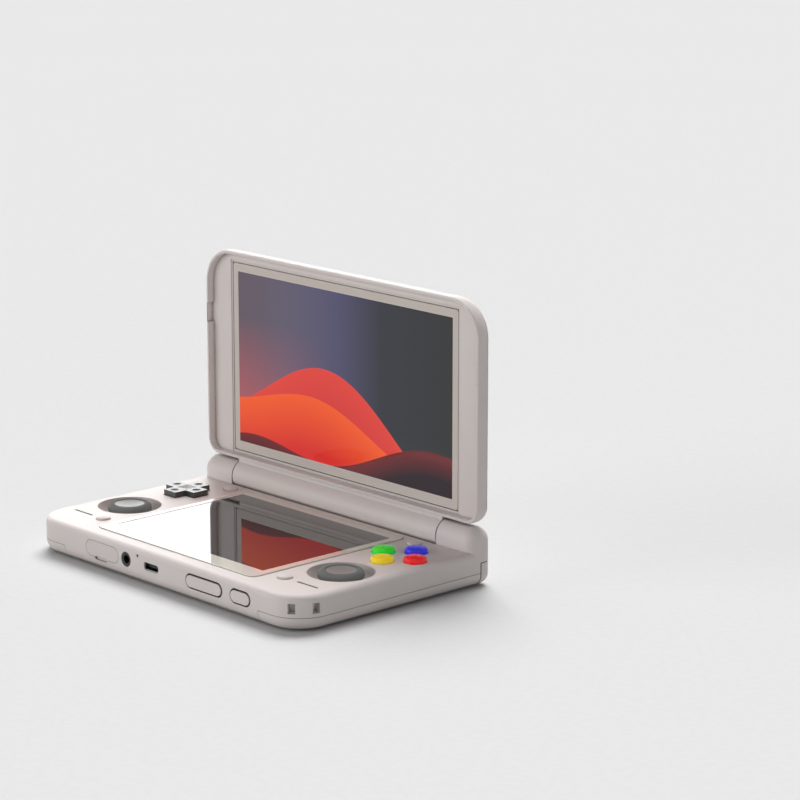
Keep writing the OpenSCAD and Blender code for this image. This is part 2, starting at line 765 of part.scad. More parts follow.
module speaker() {
  h = 3.8;
  translate([slot_x, fy(front_button_y) - 3.9, ceiling_z - 0.1 - h]) {
    linear_extrude(h - 0.6) plan(14, 7.8, 2, 2);
    translate([0, 0.8, 0]) linear_extrude(h) plan(12.4, 6.2, 1.6, 1.6);
  }
}

module right_speaker() color([0.2, 0.2, 0.2]) speaker();
module left_speaker() color([0.2, 0.2, 0.2]) mirror([1, 0, 0]) speaker();

// ---------- sticks ----------
gimbal_pin_r = 0.8;
gimbal_inner_r = 2.6;
gimbal_outer_r = 3.9;
gimbal_h = 2;
ear_x = 4.5;
module_top = 10.2;                  // top of the stick module's base, under the top face
module stick_module() {
  at_stick() {
    difference() {
      translate([0, -8.5, -base_h + wall + 0.1])
        slab(17, 17, base_h - wall - 0.1 - module_top, 1.5, 1.5, 0.3, 0.3);
      translate([0, 0, -module_top - 0.6]) cylinder(r = 4.6, h = 5);
    }
    for (s = [-1, 1]) difference() {
      span([s * (ear_x + 0.5) - 0.5, -1.4, -module_top - 0.8],
        [s * (ear_x + 0.5) + 0.5, 1.4, -pivot_depth + 1.4]);
      translate([0, 0, -pivot_depth]) rotate([0, 90, 0])
        cylinder(r = gimbal_pin_r + pin_clearance, h = 20, center = true);
    }
  }
}

module right_stick_module() color([0.2, 0.2, 0.22]) stick_module();
module left_stick_module() color([0.2, 0.2, 0.22]) mirror([1, 0, 0]) stick_module();

// Ring that tilts about X; its bores carry the stick's own pins
module stick_gimbal() {
  at_stick() translate([0, 0, -pivot_depth]) difference() {
    union() {
      translate([0, 0, -gimbal_h / 2]) cylinder(r = gimbal_outer_r, h = gimbal_h);
      rotate([0, 90, 0]) cylinder(r = gimbal_pin_r, h = 2 * (ear_x + 0.9), center = true);
    }
    translate([0, 0, -gimbal_h]) cylinder(r = gimbal_inner_r, h = 2 * gimbal_h);
    rotate([90, 0, 0]) cylinder(r = gimbal_pin_r + pin_clearance, h = 20, center = true);
  }
}

module right_stick_gimbal() color([0.75, 0.75, 0.77]) stick_gimbal();
module left_stick_gimbal() color([0.75, 0.75, 0.77]) mirror([1, 0, 0]) stick_gimbal();

cap_top = 1;                        // over the top face
cap_h = 4.1;
cap_edge_r = 2;
dish_d = 13.6;
dish_depth = 0.9;
skirt_r = 7.2;                      // dome under the cap, round the pivot
module stick_section() {
  cap_r = stick_cap_d / 2;
  dish_r = (dish_d * dish_d / 4 + dish_depth * dish_depth) / (2 * dish_depth);
  difference() {
    union() {
      translate([0, cap_top - cap_h]) border_section(cap_r, cap_h, cap_edge_r, cap_edge_r);
      difference() {
        intersection() {
          translate([0, -pivot_depth]) circle(skirt_r);
          translate([0, -pivot_depth + 1.4]) square([skirt_r, skirt_r]);
        }
        translate([0, -pivot_depth]) circle(skirt_r - 0.9);
      }
      translate([0, -pivot_depth]) square([1.2, pivot_depth - 1]);
      intersection() {
        translate([0, -pivot_depth]) circle(1.8);
        translate([0, -pivot_depth - 3]) square([3, 6]);
      }
    }
    translate([0, cap_top - dish_depth + dish_r]) circle(dish_r);
    translate([-20, -20]) square([20, 40]);
  }
}

module stick() {
  at_stick() {
    rotate_extrude() stick_section();
    translate([0, 0, -pivot_depth]) rotate([90, 0, 0])
      cylinder(r = gimbal_pin_r, h = 2 * gimbal_outer_r - 0.4, center = true);
  }
}

stick_colour = [0.42, 0.44, 0.43];
module right_stick() color(stick_colour) stick();
module left_stick() color(stick_colour) mirror([1, 0, 0]) stick();

// ---------- cross pad ----------
cross_top = 2.3;
cross_pivot = 4.6;                  // under the top face
cross_flange_r = 10.6;
cross_flange_top = 3;
cross_flange_h = 0.8;
spider_pin_r = 0.7;
spider_reach = 3;
module cross_pad() color(stick_colour) {
  mirror([1, 0, 0]) at_cluster() {
    difference() {
      union() {
        translate([0, 0, -cross_flange_top - 0.2])
          linear_extrude(cross_top + cross_flange_top + 0.2) cross_outline(0);
        translate([0, 0, -cross_flange_top - cross_flange_h])
          cylinder(r = cross_flange_r, h = cross_flange_h);
        for (s = [-1, 1])
          span([-1.4, s * 2.5 - 0.5, -cross_pivot - 1.3], [1.4, s * 2.5 + 0.5, -cross_flange_top]);
      }
      // each arm's top falls towards the middle
      intersection() {
        for_arm(0);
        for_arm(90);
      }
      for (a = [0 : 90 : 270]) rotate([0, 0, a]) translate([6.6, 0, cross_top + 4.1]) sphere(4.6);
      translate([0, 0, -cross_pivot]) rotate([90, 0, 0])
        cylinder(r = spider_pin_r + pin_clearance, h = 10, center = true);
      translate([0, 0, -cross_pivot]) sphere(2);
      span([-4, -1.9, -cross_flange_top - cross_flange_h - 1], [4, 1.9, -cross_flange_top + 0.2]);
    }
  }
}

// Long V-shaped waste over the pad, running across the angle a
module for_arm(a) {
  rotate([0, 0, a]) translate([0, 20, cross_top]) rotate([90, 0, 0]) linear_extrude(40)
    polygon([[0, -0.7], [cross_arm, 1], [-cross_arm, 1]]);
}

module cross_pad_spider() color([0.75, 0.75, 0.77]) {
  mirror([1, 0, 0]) at_cluster() translate([0, 0, -cross_pivot]) {
    sphere(1.3);
    rotate([0, 90, 0]) cylinder(r = spider_pin_r, h = 2 * spider_reach + 1.2, center = true);
    rotate([90, 0, 0]) cylinder(r = spider_pin_r, h = 2 * spider_reach - 0.2, center = true);
  }
}

// ---------- face and small buttons ----------
flange_gap = 0.15;
flange_h = 0.8;
flange_top = wall + flange_gap;     // under the top face
// Button whose shoulder of radius edge ends at the height side and whose crown ends at the height proud
module button(d, side, edge, proud, flange) {
  crown_w = d / 2 - edge;
  rise = proud - side;
  crown_r = (crown_w * crown_w + rise * rise) / (2 * rise);
  rotate_extrude() {
    translate([0, -flange_top - 0.1]) border_section(d / 2, flange_top + 0.1 + side, edge, 0);
    intersection() {
      translate([0, proud - crown_r]) circle(crown_r);
      square([crown_w, proud + 1]);
    }
    translate([0, -flange_top - flange_h]) square([flange, flange_h]);
  }
}

module face_button(a) {
  at_cluster() rotate([0, 0, a]) translate([face_button_ring, 0, 0])
    button(face_button_d, face_button_proud - 0.35, 1, face_button_proud, face_button_d / 2 + 0.9);
}

module right_face_button() color([0.88, 0.18, 0.18]) face_button(0);
module rear_face_button() color([0.24, 0.24, 0.86]) face_button(90);
module left_face_button() color([0.2, 0.75, 0.2]) face_button(180);
module front_face_button() color([0.92, 0.8, 0.25]) face_button(270);

small_proud = 1.3;
module small_button(v) {
  at_small(v) button(small_button_d, small_proud - 0.35, 0.4, small_proud, small_button_d / 2 + 0.8);
}

module start_button() color(shell_colour) small_button(front_button_y);
module menu_button() color(shell_colour) small_button(rear_button_y);
module select_button() color(shell_colour) mirror([1, 0, 0]) small_button(front_button_y);
module home_button() color(shell_colour) mirror([1, 0, 0]) small_button(rear_button_y);

// Rubber pads with a dome under each button
pad_t = 0.8;
pad_z = -side_board_top;
pad_r = face_button_ring + 3.8;
module dome(r, top_depth) {
  translate([0, 0, pad_z]) rotate_extrude() border_section(r, side_board_top - top_depth, 0.5, 0);
}

module small_pad(v) {
  at_small(v) {
    translate([0, 0, pad_z]) cylinder(r = 3.4, h = pad_t);
    dome(1.6, flange_top + flange_h + small_button_travel + 0.1);
  }
}

module right_membranes() color([0.3, 0.3, 0.32]) {
  at_cluster() {
    translate([0, -pad_r, pad_z]) slab(2 * pad_r, 2 * pad_r, pad_t, 8, 8, 0.2, 0);
    for (a = [0 : 90 : 270]) rotate([0, 0, a]) translate([face_button_ring, 0, 0])
      dome(2.6, flange_top + flange_h + face_button_travel + 0.1);
  }
  small_pad(front_button_y);
  small_pad(rear_button_y);
}

cross_tilt_room = 1.05;             // how far the cross pad's flange dips
spider_post_x = spider_reach + 0.1;
module left_membranes() color([0.3, 0.3, 0.32]) mirror([1, 0, 0]) {
  at_cluster() {
    difference() {
      translate([0, 0, pad_z]) cylinder(r = 12, h = pad_t);
      translate([0, 0, pad_z - 1]) cylinder(r = 4.6, h = 4);
    }
    for (a = [0 : 90 : 270]) rotate([0, 0, a]) translate([8, 0, 0])
      dome(2, cross_flange_top + cross_flange_h + cross_tilt_room);
  }
  small_pad(front_button_y);
  small_pad(rear_button_y);
}

// Bracket that carries the spider under the cross pad
module cross_pad_bracket() color([0.2, 0.2, 0.22]) mirror([1, 0, 0]) at_cluster() {
  translate([0, 0, pad_z]) cylinder(r = 4.3, h = 0.8);
  for (s = [-1, 1]) difference() {
    span([s * spider_post_x - 0.5, -1.3, pad_z], [s * spider_post_x + 0.5, 1.3, -cross_pivot + 1.2]);
    translate([0, 0, -cross_pivot]) rotate([0, 90, 0])
      cylinder(r = spider_pin_r + pin_clearance, h = 10, center = true);
  }
}

// ---------- shoulder buttons and triggers ----------
module bumper() {
  difference() {
    union() {
      intersection() {
        difference() {
          base_outer();
          base_cavity();
        }
        bumper_zone(0);
      }
      translate([bumper_pin_x, bumper_pin_y, foot_h + 1])
        cylinder(r = bumper_pin_r + 1.2, h = base_h - 1 - bumper_top);
      span([bumper_pin_x - 0.8, bumper_pin_y, foot_h + 1],
        [bumper_pin_x + 0.8, rear_y - 1, plate_z - bumper_top]);
    }
    translate([bumper_pin_x, bumper_pin_y, floor_z - 0.4])
      cylinder(r = bumper_pin_r + pin_clearance, h = base_h);
  }
}

module right_bumper() color(shell_colour) bumper();
module left_bumper() color(shell_colour) mirror([1, 0, 0]) bumper();

module trigger() {
  h = trigger_bottom - trigger_top;
  translate([trigger_x, rear_y - trigger_depth, plate_z - trigger_bottom]) rotate([90, 0, 180])
    slab(trigger_w, h, trigger_depth + trigger_proud, 1.6, 1.2, 0.9, 0);
  translate([trigger_x, trigger_pin_y, trigger_pin_z]) rotate([0, 90, 0])
    cylinder(r = trigger_pin_r, h = trigger_w + 2 * (trigger_gap + ear_gap + ear_w - 0.4), center = true);
}

module right_trigger() color(shell_colour) trigger();
module left_trigger() color(shell_colour) mirror([1, 0, 0]) trigger();

// ---------- front face ----------
rocker_flange = 0.8;
rocker_room = 0.5;                  // room for the rocker's swing behind the wall
module volume_rocker() color(shell_colour) {
  g = 2 * side_button_gap;
  front_stadium(volume_x, volume_w - g, side_button_h - g, -side_button_proud, wall + rocker_room + 0.1);
  front_stadium(volume_x, volume_w + 1, side_button_h + 0.4,
    wall + rocker_room, wall + rocker_room + rocker_flange);
  translate([volume_x, fy(rocker_pin_v), plate_z - 8.7]) cylinder(r = rocker_pin_r, h = 8.7 - wall - 0.5);
  span([volume_x - 0.8, fy(wall + rocker_room + 0.2), plate_z - 8.7],
    [volume_x + 0.8, fy(rocker_pin_v), ceiling_z - rocker_lug_h - 0.2]);
}

power_travel = 0.4;
module power_button() color(shell_colour) {
  g = 2 * side_button_gap;
  front_stadium(power_x, power_w - g, side_button_h - g, -side_button_proud, wall + 0.2);
  front_stadium(power_x, power_w + 0.4, side_button_h + 0.2, wall + flange_gap, wall + flange_gap + 0.6);
}

// Click switches on the main board, behind the rocker and the power button
module edge_switches() color([0.7, 0.7, 0.72]) {
  for (s = [[volume_x - 7, 3.9], [volume_x + 7, 3.9], [power_x - 1, 3.1]])
    translate([s[0], fy(s[1]), fan_z]) {
      span([-1.8, 0.9, 0], [1.8, 3, 4.4]);
      translate([0, 1, plate_z - front_line - fan_z]) rotate([90, 0, 0]) cylinder(r = 0.8, h = 1);
    }
  both_sides() {
    span([trigger_x - 2.5, rear_y - 8.2, floor_z], [trigger_x + 2.5, rear_y - 5, floor_z + 5]);
    span([tab_x - 2, fy(tab_v - 3.2), plate_z - side_board_top],
      [tab_x + 2, fy(tab_v - 0.1), plate_z - side_board_top + 2]);
    translate([tab_x, fy(tab_v - 0.5), plate_z - side_board_top + 1]) rotate([-90, 0, 0])
      cylinder(r = 0.6, h = base_d - wall - 0.3 - tab_v + 0.5);
  }
}

card_gap = 0.15;
module card_cover() color(shell_colour) {
  difference() {
    front_stadium(card_x, card_w - 2 * card_gap, card_h - 2 * card_gap, 0, 1.5);
    nail_notch();
  }
  front_stadium(card_x, card_w - 4, card_h - 3, 1.4, 3.1);
}

module card_socket() color([0.7, 0.7, 0.72]) {
  difference() {
    translate([card_x, fy(3.4), fan_z]) slab(15, 14.5, 1.9, 0.3, 0.3, 0.2, 0);
    span([card_x - 5.7, fy(3), fan_z + 0.5], [card_x + 5.7, fy(16.5), fan_z + 1.4]);
  }
}

jack_l = 13;
module headphone_jack() color([0.12, 0.12, 0.12]) {
  difference() {
    union() {
      translate([jack_x - 3.2, fy(2.7), fan_z]) cube([6.4, jack_l - 2, main_board_top - front_line + 2.5]);
      translate([jack_x, fy(3), plate_z - front_line]) rotate([90, 0, 0])
        cylinder(r = jack_hole_r - 0.1, h = 2.75);
    }
    translate([jack_x, fy(jack_l - 0.4), plate_z - front_line]) rotate([90, 0, 0])
      cylinder(r = jack_bore_r, h = jack_l + 2);
  }
}

port_shell = [8.94, 3.2];
module charging_port() color([0.7, 0.7, 0.72]) {
  difference() {
    front_stadium(port_x, port_shell[0], port_shell[1], 0.35, 7.6);
    front_stadium(port_x, port_shell[0] - 0.6, port_shell[1] - 0.6, 0, 7.1);
  }
  span([port_x - 3.3, fy(1.4), plate_z - front_line - 0.35],
    [port_x + 3.3, fy(7.3), plate_z - front_line + 0.35]);
  for (s = [-1, 1])
    span([port_x + s * 3 - 1, fy(3.4), fan_z], [port_x + s * 3 + 1, fy(7), plate_z - front_line - 1.4]);
}

// ---------- hinge ----------
unit_gap = 0.1;
module hinge_unit() {
  axis_cylinder(knuckle_bore_r - unit_gap, knuckle_x + 0.8, knuckle_x + knuckle_bore_l - 0.2);
  axis_cylinder(hinge_pin_r, barrel_x - 8.4, knuckle_x + 1);
}

module right_hinge_unit() color([0.7, 0.7, 0.72]) hinge_unit();
module left_hinge_unit() color([0.7, 0.7, 0.72]) mirror([1, 0, 0]) hinge_unit();

barrel_wall = 1.4;
cap_t = 2;                          // wall at each end of the barrel
arm_l = 6;
arm_x1 = barrel_x - cap_t - 0.1;
arm_top = upper_mid - upper_h / 2 - display_border - 1.7;
arm_screw_h = lid_bottom + lid_wall + 1.3;
lid_seam_y = hinge_r - lid_seam;    // from the hinge axis
inside_y0 = hinge_r - panel_t + lid_panel;
inside_y1 = hinge_r - lid_wall;
module hinge_arm() {
  difference() {
    union() {
      axis_cylinder(3.7, arm_x1 - arm_l, arm_x1);
      at_hinge() span([arm_x1 - 11, inside_y0 + 0.9, 0], [arm_x1, inside_y0 + 1.9, arm_top]);
    }
    axis_cylinder(hinge_pin_r + pin_clearance, arm_x1 - 12, arm_x1 + 1);
    for (x = [2.5, 8.5]) at_hinge() translate([arm_x1 - x, 0, arm_screw_h]) rotate([-90, 0, 0])
      cylinder(r = 0.7, h = 10);
  }
}

module right_hinge_arm() color([0.6, 0.6, 0.62]) hinge_arm();
module left_hinge_arm() color([0.6, 0.6, 0.62]) mirror([1, 0, 0]) hinge_arm();

// ---------- lid ----------
// Slab in the lid: heights h0 to h1 over the hinge axis, t0 to t1 forward of the lid's back face
module lid_slab(w, h0, h1, t0, t1, bottom_r, top_r, back_r, front_r) {
  translate([0, hinge_y + hinge_r - t0, hinge_z + h0]) rotate([90, 0, 0])
    slab(w, h1 - h0, t1 - t0, bottom_r, top_r, front_r, back_r);
}

// Box in the lid, |x| to w, heights h0 to h1, t0 to t1 forward of the lid's back face
module lid_box(w, h0, h1, t0, t1) {
  at_hinge() span([-w, hinge_r - t1, h0], [w, hinge_r - t0, h1]);
}

module lid_outer() {
  lid_slab(base_w, lid_bottom, lid_top, 0, lid_t,
    lid_bottom_corner_r, lid_top_corner_r, lid_back_edge_r, 0.7);
}

module lid_inside(t0, t1) {
  w = lid_wall;
  lid_slab(base_w - 2 * w, lid_bottom + w, lid_top - w, t0, t1, lid_bottom_corner_r - w, lid_top_corner_r - w,
    max(lid_back_edge_r - t0 - 0.2, 0.2), 0);
}

module lid_duct() {
  axis_cylinder(hinge_r - barrel_wall, -barrel_x + cap_t, barrel_x - cap_t);
  at_hinge() {
    span([-barrel_x + cap_t, inside_y0 - 2.4, 0], [barrel_x - cap_t, inside_y1, lid_bottom]);
    span([-barrel_x + cap_t, inside_y0, 0], [barrel_x - cap_t, inside_y1, lid_bottom + lid_wall + 1]);
  }
}

// Barrel and the chin that joins it to the lid, solid
chin_set = 0.3;                     // the chin's front lies behind the rim's
module barrel() {
  axis_cylinder(hinge_r, -barrel_x, barrel_x);
  at_hinge() span([-barrel_x, hinge_r - lid_t + chin_set, 0], [barrel_x, hinge_r, lid_bottom + lid_wall]);
}

upper_glass_h0 = upper_mid - upper_h / 2 - upper_bottom_margin;
upper_glass_h1 = upper_mid + upper_h / 2 + upper_top_margin;
upper_glass_w = upper_w / 2 + upper_side_margin;
notch_low = 64.9;
notch_high = 73.4;
module lid_frame() color(shell_colour) {
  difference() {
    union() {
      intersection() {
        lid_outer();
        lid_box(half_w + 1, lid_bottom - 1, lid_top + 1, lid_seam, lid_t + 1);
      }
      intersection() {
        barrel();
        lid_box(half_w, -hinge_r - 1, lid_bottom + lid_wall, lid_seam, 2 * hinge_r + 1);
      }
    }
    lid_slab(base_w - 2 * rim_w, lid_bottom + rim_w, lid_top - rim_w, panel_t, lid_t + 3,
      lid_bottom_corner_r - rim_w, lid_top_corner_r - rim_w, 0, 0.2);
    lid_inside(lid_seam - 1, panel_t - lid_panel);
    lid_duct();
    lid_box(upper_glass_w + 1.2, upper_glass_h0 - 1.2, upper_glass_h1 + 1.2, panel_t - step_t, lid_t + 1);
    lid_box(upper_glass_w + glass_gap, upper_glass_h0 - glass_gap, upper_glass_h1 + glass_gap,
      upper_glass_t0, lid_t + 1);
    lid_box(upper_w / 2 + display_border + 0.4, upper_mid - upper_h / 2 - display_border - 0.4,
      upper_mid + upper_h / 2 + display_border + 0.4, lid_seam - 1, lid_t + 1);
    both_sides() at_hinge() span([half_w - rim_w - 1, hinge_r - lid_t - 1, notch_low],
      [half_w - rim_w + 1.1, hinge_r - panel_t, notch_high]);
    both_sides() axis_cylinder(hinge_pin_r + pin_clearance, barrel_x - cap_t - 1, barrel_x + 1);
  }
}

module lid_back_cover() color(shell_colour) {
  difference() {
    union() {
      intersection() {
        lid_outer();
        lid_box(half_w + 1, lid_bottom - 1, lid_top + 1, -1, lid_seam - shut_line);
      }
      lid_box(barrel_x, lid_bottom + shut_line, lid_bottom + lid_back_edge_r + 1, 0, lid_wall);
    }
    lid_inside(lid_wall, lid_seam + 1);
    lid_box(barrel_x + 0.1, lid_bottom - 2, lid_bottom + shut_line, -1, lid_seam + 1);
    lid_box(barrel_x - cap_t, lid_bottom - 1, arm_top + 0.2, lid_wall, lid_seam + 1);
  }
}

module hinge_cover() color(shell_colour) {
  difference() {
    intersection() {
      barrel();
      lid_box(barrel_x, -hinge_r - 1, lid_bottom, -1, lid_seam - shut_line);
    }
    lid_duct();
    both_sides() axis_cylinder(hinge_pin_r + pin_clearance, barrel_x - cap_t - 1, barrel_x + 1);
  }
}

module upper_glass() color([0.3, 0.3, 0.34]) {
  lid_slab(2 * upper_glass_w, upper_glass_h0, upper_glass_h1, upper_glass_t0, upper_glass_t0 + glass_t,
    1.2, 1.2, 0, 0.15);
}

module upper_display() color([0.75, 0.25, 0.2]) {
  lid_slab(upper_w + 2 * display_border, upper_mid - upper_h / 2 - display_border,
    upper_mid + upper_h / 2 + display_border,
    upper_glass_t0 - display_gap - display_t, upper_glass_t0 - display_gap, 1, 1, 0, 0.2);
}

cable_r = 3;
cable_t = 0.25;
module display_cable() color([0.75, 0.5, 0.15]) {
  difference() {
    axis_cylinder(cable_r + cable_t, -10, 10);
    axis_cylinder(cable_r, -11, 11);
  }
  at_hinge() span([-6, cable_r, 0], [6, cable_r + cable_t, upper_mid - upper_h / 2 - display_border - 1]);
  at_hinge() span([-6, inside_y0 + 0.1, upper_mid - upper_h / 2 - display_border - 1.3],
    [6, cable_r + cable_t, upper_mid - upper_h / 2 - display_border - 1]);
}

module lid_screws() color([0.6, 0.6, 0.62]) {
  both_sides() for (x = [2.5, 8.5])
    at_hinge() translate([arm_x1 - x, inside_y0, arm_screw_h]) rotate([-90, 0, 0]) {
    cylinder(r = 0.65, h = 2.2);
    translate([0, 0, 1.95]) cylinder(r = 1.2, h = 0.7);
  }
}

base_top_shell();
base_bottom_shell();
lower_glass();
lower_display();
mainboard();
left_control_board();
right_control_board();
battery();
fan_housing();
fan_rotor();
heat_sink();
left_stick_module();
right_stick_module();
left_stick_gimbal();
right_stick_gimbal();
left_stick();
right_stick();
cross_pad();
cross_pad_spider();
cross_pad_bracket();
left_membranes();
right_membranes();
left_face_button();
rear_face_button();
right_face_button();
front_face_button();
select_button();
start_button();
home_button();
menu_button();
left_bumper();
right_bumper();
left_trigger();
right_trigger();
volume_rocker();
power_button();
edge_switches();
card_cover();
card_socket();
headphone_jack();
charging_port();
left_speaker();
right_speaker();
rubber_feet();
base_screws();
left_hinge_unit();
right_hinge_unit();
left_hinge_arm();
right_hinge_arm();
lid_frame();
lid_back_cover();
hinge_cover();
upper_glass();
upper_display();
display_cable();
lid_screws();
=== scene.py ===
"""Looks of the clamshell handheld game console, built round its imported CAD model."""
import math

import bpy
import bmesh
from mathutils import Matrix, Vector

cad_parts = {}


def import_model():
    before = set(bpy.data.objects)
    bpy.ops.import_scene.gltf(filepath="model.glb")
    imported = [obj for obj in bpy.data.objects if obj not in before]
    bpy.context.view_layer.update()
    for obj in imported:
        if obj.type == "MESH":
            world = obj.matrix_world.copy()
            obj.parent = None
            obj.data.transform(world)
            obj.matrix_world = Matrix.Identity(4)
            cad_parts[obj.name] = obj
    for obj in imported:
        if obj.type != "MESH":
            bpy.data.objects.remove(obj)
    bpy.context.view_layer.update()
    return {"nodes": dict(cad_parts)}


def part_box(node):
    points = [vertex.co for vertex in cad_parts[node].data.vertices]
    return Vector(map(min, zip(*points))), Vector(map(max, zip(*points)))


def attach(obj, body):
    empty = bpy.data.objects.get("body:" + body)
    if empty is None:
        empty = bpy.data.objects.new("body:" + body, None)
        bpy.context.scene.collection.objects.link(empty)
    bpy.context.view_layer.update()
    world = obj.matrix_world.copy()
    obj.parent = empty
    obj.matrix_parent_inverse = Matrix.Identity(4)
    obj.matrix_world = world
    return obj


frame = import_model()
NODES = frame["nodes"]
MM = 0.001

# Camera: the photograph's viewing angle, found from the console's straight edges
CAMERA_PLACE = (0.90728, -0.76351, 0.35093)
CAMERA_TURN = (math.radians(76.6446), 0.0, math.radians(47.1495))
CAMERA_LENS = 135.091
SENSOR_WIDTH = 36.0


def srgb(r, g, b):
    """Linear colour from 0-255 display values."""
    def one(v):
        v /= 255.0
        return v / 12.92 if v <= 0.04045 else ((v + 0.055) / 1.055) ** 2.4
    return (one(r), one(g), one(b), 1.0)


# ---------- node graphs ----------
MIX_A, MIX_B, MIX_RESULT = 6, 7, 2  # places of the colour sockets of a Mix node


class Graph:
    """Short calls for building one material's nodes."""

    def __init__(self, name):
        self.material = bpy.data.materials.new(name)
        self.material.use_nodes = True
        self.tree = self.material.node_tree
        self.tree.nodes.clear()
        self.output = self.add("ShaderNodeOutputMaterial")
        self.place = self.add("ShaderNodeTexCoord").outputs["Object"]

    def add(self, kind, **settings):
        node = self.tree.nodes.new(kind)
        for key, value in settings.items():
            setattr(node, key, value)
        return node

    def link(self, value, socket):
        if isinstance(value, bpy.types.NodeSocket):
            self.tree.links.new(value, socket)
        else:
            socket.default_value = value

    def math(self, op, a, b=0.0):
        node = self.add("ShaderNodeMath", operation=op)
        self.link(a, node.inputs[0])
        self.link(b, node.inputs[1])
        return node.outputs[0]

    def axes(self):
        node = self.add("ShaderNodeSeparateXYZ")
        self.link(self.place, node.inputs[0])
        return node.outputs

    def scaled(self, x, y, z):
        node = self.add("ShaderNodeMapping")
        self.link(self.place, node.inputs["Vector"])
        node.inputs["Scale"].default_value = (x, y, z)
        return node.outputs[0]

    def noise(self, scale, detail=2.0, rough=0.5, at=None):
        node = self.add("ShaderNodeTexNoise")
        self.link(at or self.place, node.inputs["Vector"])
        node.inputs["Scale"].default_value = scale
        node.inputs["Detail"].default_value = detail
        node.inputs["Roughness"].default_value = rough
        return node.outputs[0]

    def ramp(self, value, stops):
        node = self.add("ShaderNodeValToRGB")
        bar = node.color_ramp
        while len(bar.elements) < len(stops):
            bar.elements.new(0.5)
        for element, (place, colour) in zip(bar.elements, stops):
            element.position = place
            element.color = colour
        self.link(value, node.inputs[0])
        return node.outputs[0]

    def mix(self, factor, a, b):
        node = self.add("ShaderNodeMix", data_type="RGBA")
        self.link(factor, node.inputs[0])
        self.link(a, node.inputs[MIX_A])
        self.link(b, node.inputs[MIX_B])
        return node.outputs[MIX_RESULT]

    def span(self, value, low, high, to_low=0.0, to_high=1.0):
        """The value carried from one range to another, and kept inside it."""
        node = self.add("ShaderNodeMapRange")
        for socket, v in zip(node.inputs[:5], (value, low, high, to_low, to_high)):
            self.link(v, socket)
        return node.outputs[0]

    def inside(self, a, b, rect):
        """1 where a and b lie in the rectangle's two ranges, 0 outside."""
        within = []
        for value, (low, high) in zip((a, b), rect):
            away = self.math("ABSOLUTE", self.math("SUBTRACT", value, (low + high) / 2))
            within.append(self.math("LESS_THAN", away, (high - low) / 2))
        return self.math("MULTIPLY", *within)

    def bump(self, height, strength, distance, normal=None):
        node = self.add("ShaderNodeBump")
        node.inputs["Strength"].default_value = strength
        node.inputs["Distance"].default_value = distance
        self.link(height, node.inputs["Height"])
        if normal is not None:
            self.link(normal, node.inputs["Normal"])
        return node.outputs[0]

    def soft_edges(self, radius):
        """Normal that rounds the sharp edges of the CAD solids."""
        node = self.add("ShaderNodeBevel", samples=4)
        node.inputs["Radius"].default_value = radius
        return node.outputs[0]

    def unshaded_share(self, reach, low, high):
        """Mask for painted shade by ambient occlusion: 1 on open faces, 0 deep in a gap narrower than the
        reach; low and high bound the change.
        """
        node = self.add("ShaderNodeAmbientOcclusion", samples=6)
        node.inputs["Distance"].default_value = reach
        return self.span(node.outputs["AO"], low, high)

    def surface(self, **values):
        """Principled shader; keys are its socket names with _ for spaces."""
        node = self.add("ShaderNodeBsdfPrincipled")
        for key, value in values.items():
            self.link(value, node.inputs[key.replace("_", " ")])
        self.tree.links.new(node.outputs[0], self.output.inputs[0])


def tint(colour, factor):
    """The colour made darker or lighter, never past white."""
    return tuple(min(1.0, c * factor) for c in colour[:3]) + (1.0,)


def moulded(name, colour, roughness=0.5, grain=9000.0, depth=0.02 * MM, mottle=0.012, edge=0.0,
            painted_shade_tone=None, unshaded_above=0.55, **more):
    """Moulded plastic or rubber: fine spark-eroded grain, faint colour drift, softened edges.

    The grain counts its cells over a metre and the depth is its height. Gaps and deep corners between
    pieces get painted shade: a dark tone, given as an argument, is mixed in by ambient occlusion, and
    another argument says how open a place must be to keep its own colour.
    """
    g = Graph(name)
    drift = g.noise(60.0, 3.0)
    tone = g.ramp(drift, [(0.3, tint(colour, 1 - mottle)), (0.7, tint(colour, 1 + mottle))])
    fine = g.noise(grain, 2.0, 0.6)
    rough = g.span(g.noise(900.0, 3.0), 0.3, 0.7, roughness - 0.05, roughness + 0.05)
    normal = g.bump(fine, 0.35, depth, g.soft_edges(edge) if edge else None)
    # Painted shade: gaps and deep corners darken towards the shade tone by ambient occlusion.
    if painted_shade_tone:
        tone = g.mix(g.unshaded_share(SHADE_REACH, FULL_SHADE_AT, unshaded_above), painted_shade_tone, tone)
    g.surface(Base_Color=tone, Roughness=rough, Normal=normal, **more)
    return g.material


def metal(name, colour, roughness, along=(1, 1, 1)):
    """Plated or milled metal with fine marks, squeezed along the axes by the factors."""
    g = Graph(name)
    marks = g.noise(3000.0, 3.0, 0.6, g.scaled(*along))
    rough = g.span(marks, 0.3, 0.7, roughness - 0.08, roughness + 0.12)
    tone = g.ramp(marks, [(0.2, tint(colour, 0.88)), (0.8, tint(colour, 1.05))])
    g.surface(Base_Color=tone, Metallic=1.0, Roughness=rough, Normal=g.bump(marks, 0.15, 0.01 * MM))
    return g.material


def dress(material, *names):
    """Give the material to every slot of the named CAD nodes."""
    for name in names:
        mesh = NODES[name].data
        if not mesh.materials:
            mesh.materials.append(None)
        for slot in NODES[name].material_slots:
            slot.material = material


# ---------- materials ----------
HOUSING = srgb(231, 223, 219)
# Painted shade for gaps and deep corners, mixed in by ambient occlusion
PAINTED_GAP_SHADE = srgb(30, 26, 25)
SHADE_REACH = 2.2 * MM                # places with this much air over them are open
FULL_SHADE_AT = 0.12                   # share of open air at which the painted shade in a gap is full
LID_PAINTED_SHADE = srgb(150, 141, 137)       # painted shade of the lid's gaps; they are shallow, so it stays pale
